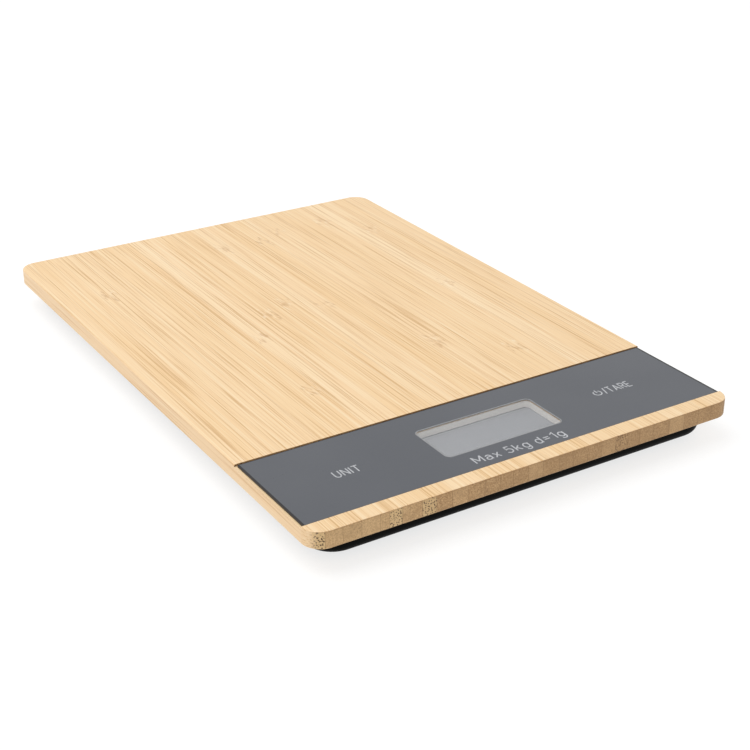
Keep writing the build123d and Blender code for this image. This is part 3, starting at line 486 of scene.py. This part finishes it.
def ribbon(line, width, low, high):
    """A band of one width along a line, with mitred corners; it closes where the line does."""
    closed = math.dist(line[0], line[-1]) < 1e-6
    points = [Vector(point) for point in (line[:-1] if closed else line)]
    count = len(points)
    starts = range(count if closed else count - 1)
    steps = [(points[(i + 1) % count] - points[i]).normalized() for i in starts]
    left, right = [], []
    for i, point in enumerate(points):
        before = steps[i - 1] if closed else steps[max(i - 1, 0)]
        after = steps[min(i, len(steps) - 1)]
        along = (before + after).normalized()
        across = Vector((-along.y, along.x)) * width / 2 / max(MITRE_LIMIT, along.dot(before))
        left.append(tuple(point + across))
        right.append(tuple(point - across))
    return band(left, right, low, high, closed)


def strokes(name, lines, width, low, high):
    """Printed lines of one width, in mm, with their tops stepped so that no two lie in one plane."""
    return solid(name, [ribbon(line, width, low, high + STROKE_STEP * i) for i, line in enumerate(lines)])


def word_lines(words, x0, x1, base_line, height):
    """The strokes of some words, spread from x0 to x1 in mm on a base line."""
    total = sum(LETTERS[c][0] for c in words) + LETTER_GAP * (len(words) - 1)
    wide = (x1 - x0) / total
    lines, place = [], 0.0
    for c in words:
        for line in LETTERS[c][1]:
            lines.append([(x0 + (place + x) * wide, base_line + y * height) for x, y in line])
        place += LETTERS[c][0] + LETTER_GAP
    return lines


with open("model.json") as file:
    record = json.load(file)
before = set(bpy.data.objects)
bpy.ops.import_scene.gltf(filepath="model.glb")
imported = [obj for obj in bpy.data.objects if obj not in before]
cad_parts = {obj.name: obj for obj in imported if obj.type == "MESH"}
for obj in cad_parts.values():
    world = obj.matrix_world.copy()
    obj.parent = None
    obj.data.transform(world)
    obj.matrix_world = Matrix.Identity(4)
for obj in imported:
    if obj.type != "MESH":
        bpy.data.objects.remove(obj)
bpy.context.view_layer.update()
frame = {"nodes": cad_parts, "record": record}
nodes = frame["nodes"]
slot_of = {part["node"]: part["material_slot"] for part in frame["record"]["subparts"]}
materials = {slot: make() for slot, make in MAKERS.items()}
for node, slot in slot_of.items():
    mesh = nodes[node].data
    mesh.materials.clear()
    mesh.materials.append(materials[slot])

# Small rounded edges that catch the light
for node, width in (("control_panel", 0.08), ("bamboo_platform", 0.12)):
    bevel = nodes[node].modifiers.new("edge", "BEVEL")
    bevel.width = width * MM
    bevel.segments = 2
    bevel.limit_method = "ANGLE"
    bevel.angle_limit = math.radians(40)
    bevel.harden_normals = True

# Printed marks on the panel, in mm
KEY_LINE, KEY_HEIGHT = 0.43, 3.6
CAPACITY_LINE, CAPACITY_HEIGHT = 0.46, 3.8
INK_TOP = PANEL_TOP + 0.012
INK_LOW = PANEL_TOP - 0.01
ink = moulded("label_ink", (0.50, 0.51, 0.53), 0.45, grain=3.0, depth=0.004, wear=0.05)
POWER_X, POWER_Y, POWER_R = 44.45, -91.25, 1.45
power = [bend(POWER_X, POWER_Y, POWER_R, POWER_R, 125, 415, 30),
         [(POWER_X, POWER_Y + 0.2), (POWER_X, POWER_Y + 2.0)]]
marks = [
    strokes("label_unit", word_lines("UNIT", -57.3, -48.5, -93.5, KEY_HEIGHT), KEY_LINE, INK_LOW, INK_TOP),
    strokes("label_tare", word_lines("/TARE", 47.0, 58.1, -93.0, KEY_HEIGHT), KEY_LINE, INK_LOW, INK_TOP),
    strokes("label_power", power, KEY_LINE, INK_LOW, INK_TOP),
    strokes("label_capacity", word_lines("Max 5kg d=1g", -16.8, 17.5, -108.6, CAPACITY_HEIGHT), CAPACITY_LINE,
            INK_LOW, INK_TOP),
]
# The outline lies along the window's edge
inner = rounded_outline(44.5, 18.9, 1.85, WINDOW_MIDDLE_Y)
outer = rounded_outline(45.3, 19.7, 2.25, WINDOW_MIDDLE_Y)
marks.append(solid("window_outline", [band(inner, outer, INK_LOW, INK_TOP, closed=True)]))
frost = moulded("window_outline_grey", (0.30, 0.305, 0.31), 0.40, grain=3.0, depth=0.004, wear=0.05)
for mark in marks:
    mark.data.materials.append(frost if mark.name == "window_outline" else ink)
    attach(mark, "scale_body")

# A pale strip along the back edge of the display film, on the glass ledge behind it: a painted highlight
painted_highlight_strip = box("display_painted_highlight", -22.6, 22.6, -82.85, -82.55, 11.605, 11.80)
painted_highlight_strip.data.materials.append(moulded("painted_highlight_pale", (0.50, 0.52, 0.53), 0.35, depth=0.004, wear=0.05))
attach(painted_highlight_strip, "scale_body")

# Floor, light and camera
FLOOR_REACH, FLOOR_THICKNESS, FLOOR_GLOW = 4000, 20, 0.76
LIGHT_PLACE, LIGHT_SIZE, LIGHT_POWER = (-0.55, 0.30, 1.6), 1.4, 17.0
# The sky is brighter near the horizon: its strength below one height of the direction and
# above another
SKY_FROM, SKY_TO = 0.22, 0.40
SKY_LOW, SKY_HIGH = 0.97, 0.58
floor = box("floor", -FLOOR_REACH, FLOOR_REACH, -FLOOR_REACH, FLOOR_REACH, -FLOOR_THICKNESS, 0)
paper = Surface("floor_paper", {"Specular IOR Level": 0.1})
fibres = paper.noise(paper.mm, scale=0.02, detail=3.0)
paper.feed("Base Color", paper.mixed(fibres, (0.27, 0.27, 0.27), (0.29, 0.29, 0.29)))
paper.shader.inputs["Emission Color"].default_value = (1.0, 1.0, 1.0, 1.0)
paper.shader.inputs["Emission Strength"].default_value = FLOOR_GLOW
paper.feed("Roughness", paper.fade(fibres, 0.3, 0.7, 0.85, 0.95))
floor.data.materials.append(paper.material)

scene = bpy.context.scene
world = bpy.data.worlds.new("studio")
world.use_nodes = True
sky = world.node_tree
direction = sky.nodes.new("ShaderNodeTexCoord")
height = sky.nodes.new("ShaderNodeSeparateXYZ")
sky.links.new(direction.outputs["Generated"], height.inputs[0])
glow = sky.nodes.new("ShaderNodeMapRange")
glow.interpolation_type = "SMOOTHSTEP"
ends = (("From Min", SKY_FROM), ("From Max", SKY_TO), ("To Min", SKY_LOW), ("To Max", SKY_HIGH))
for name, value in ends:
    glow.inputs[name].default_value = value
sky.links.new(height.outputs["Z"], glow.inputs["Value"])
sky.nodes["Background"].inputs["Color"].default_value = (1.0, 1.0, 1.0, 1.0)
sky.links.new(glow.outputs["Result"], sky.nodes["Background"].inputs["Strength"])
scene.world = world

key_data = bpy.data.lights.new("key", "AREA")
key_data.shape = "SQUARE"
key_data.size = LIGHT_SIZE
key_data.energy = LIGHT_POWER
key = bpy.data.objects.new("key", key_data)
key.location = LIGHT_PLACE
key.rotation_euler = Vector(key.location).to_track_quat("Z", "Y").to_euler()
scene.collection.objects.link(key)

turn, rise = math.radians(CAMERA_AZIMUTH), math.radians(CAMERA_ELEVATION)
back = Vector((math.sin(turn) * math.cos(rise), -math.cos(turn) * math.cos(rise), math.sin(rise)))
camera_data = bpy.data.cameras.new("camera")
camera_data.lens = CAMERA_LENS
camera_data.clip_start = 0.01
camera = bpy.data.objects.new("camera", camera_data)
camera.matrix_world = Matrix.Translation(CAMERA_PLACE) @ back.to_track_quat("Z", "Y").to_matrix().to_4x4()
scene.collection.objects.link(camera)
scene.camera = camera
scene.view_settings.view_transform = "Standard"
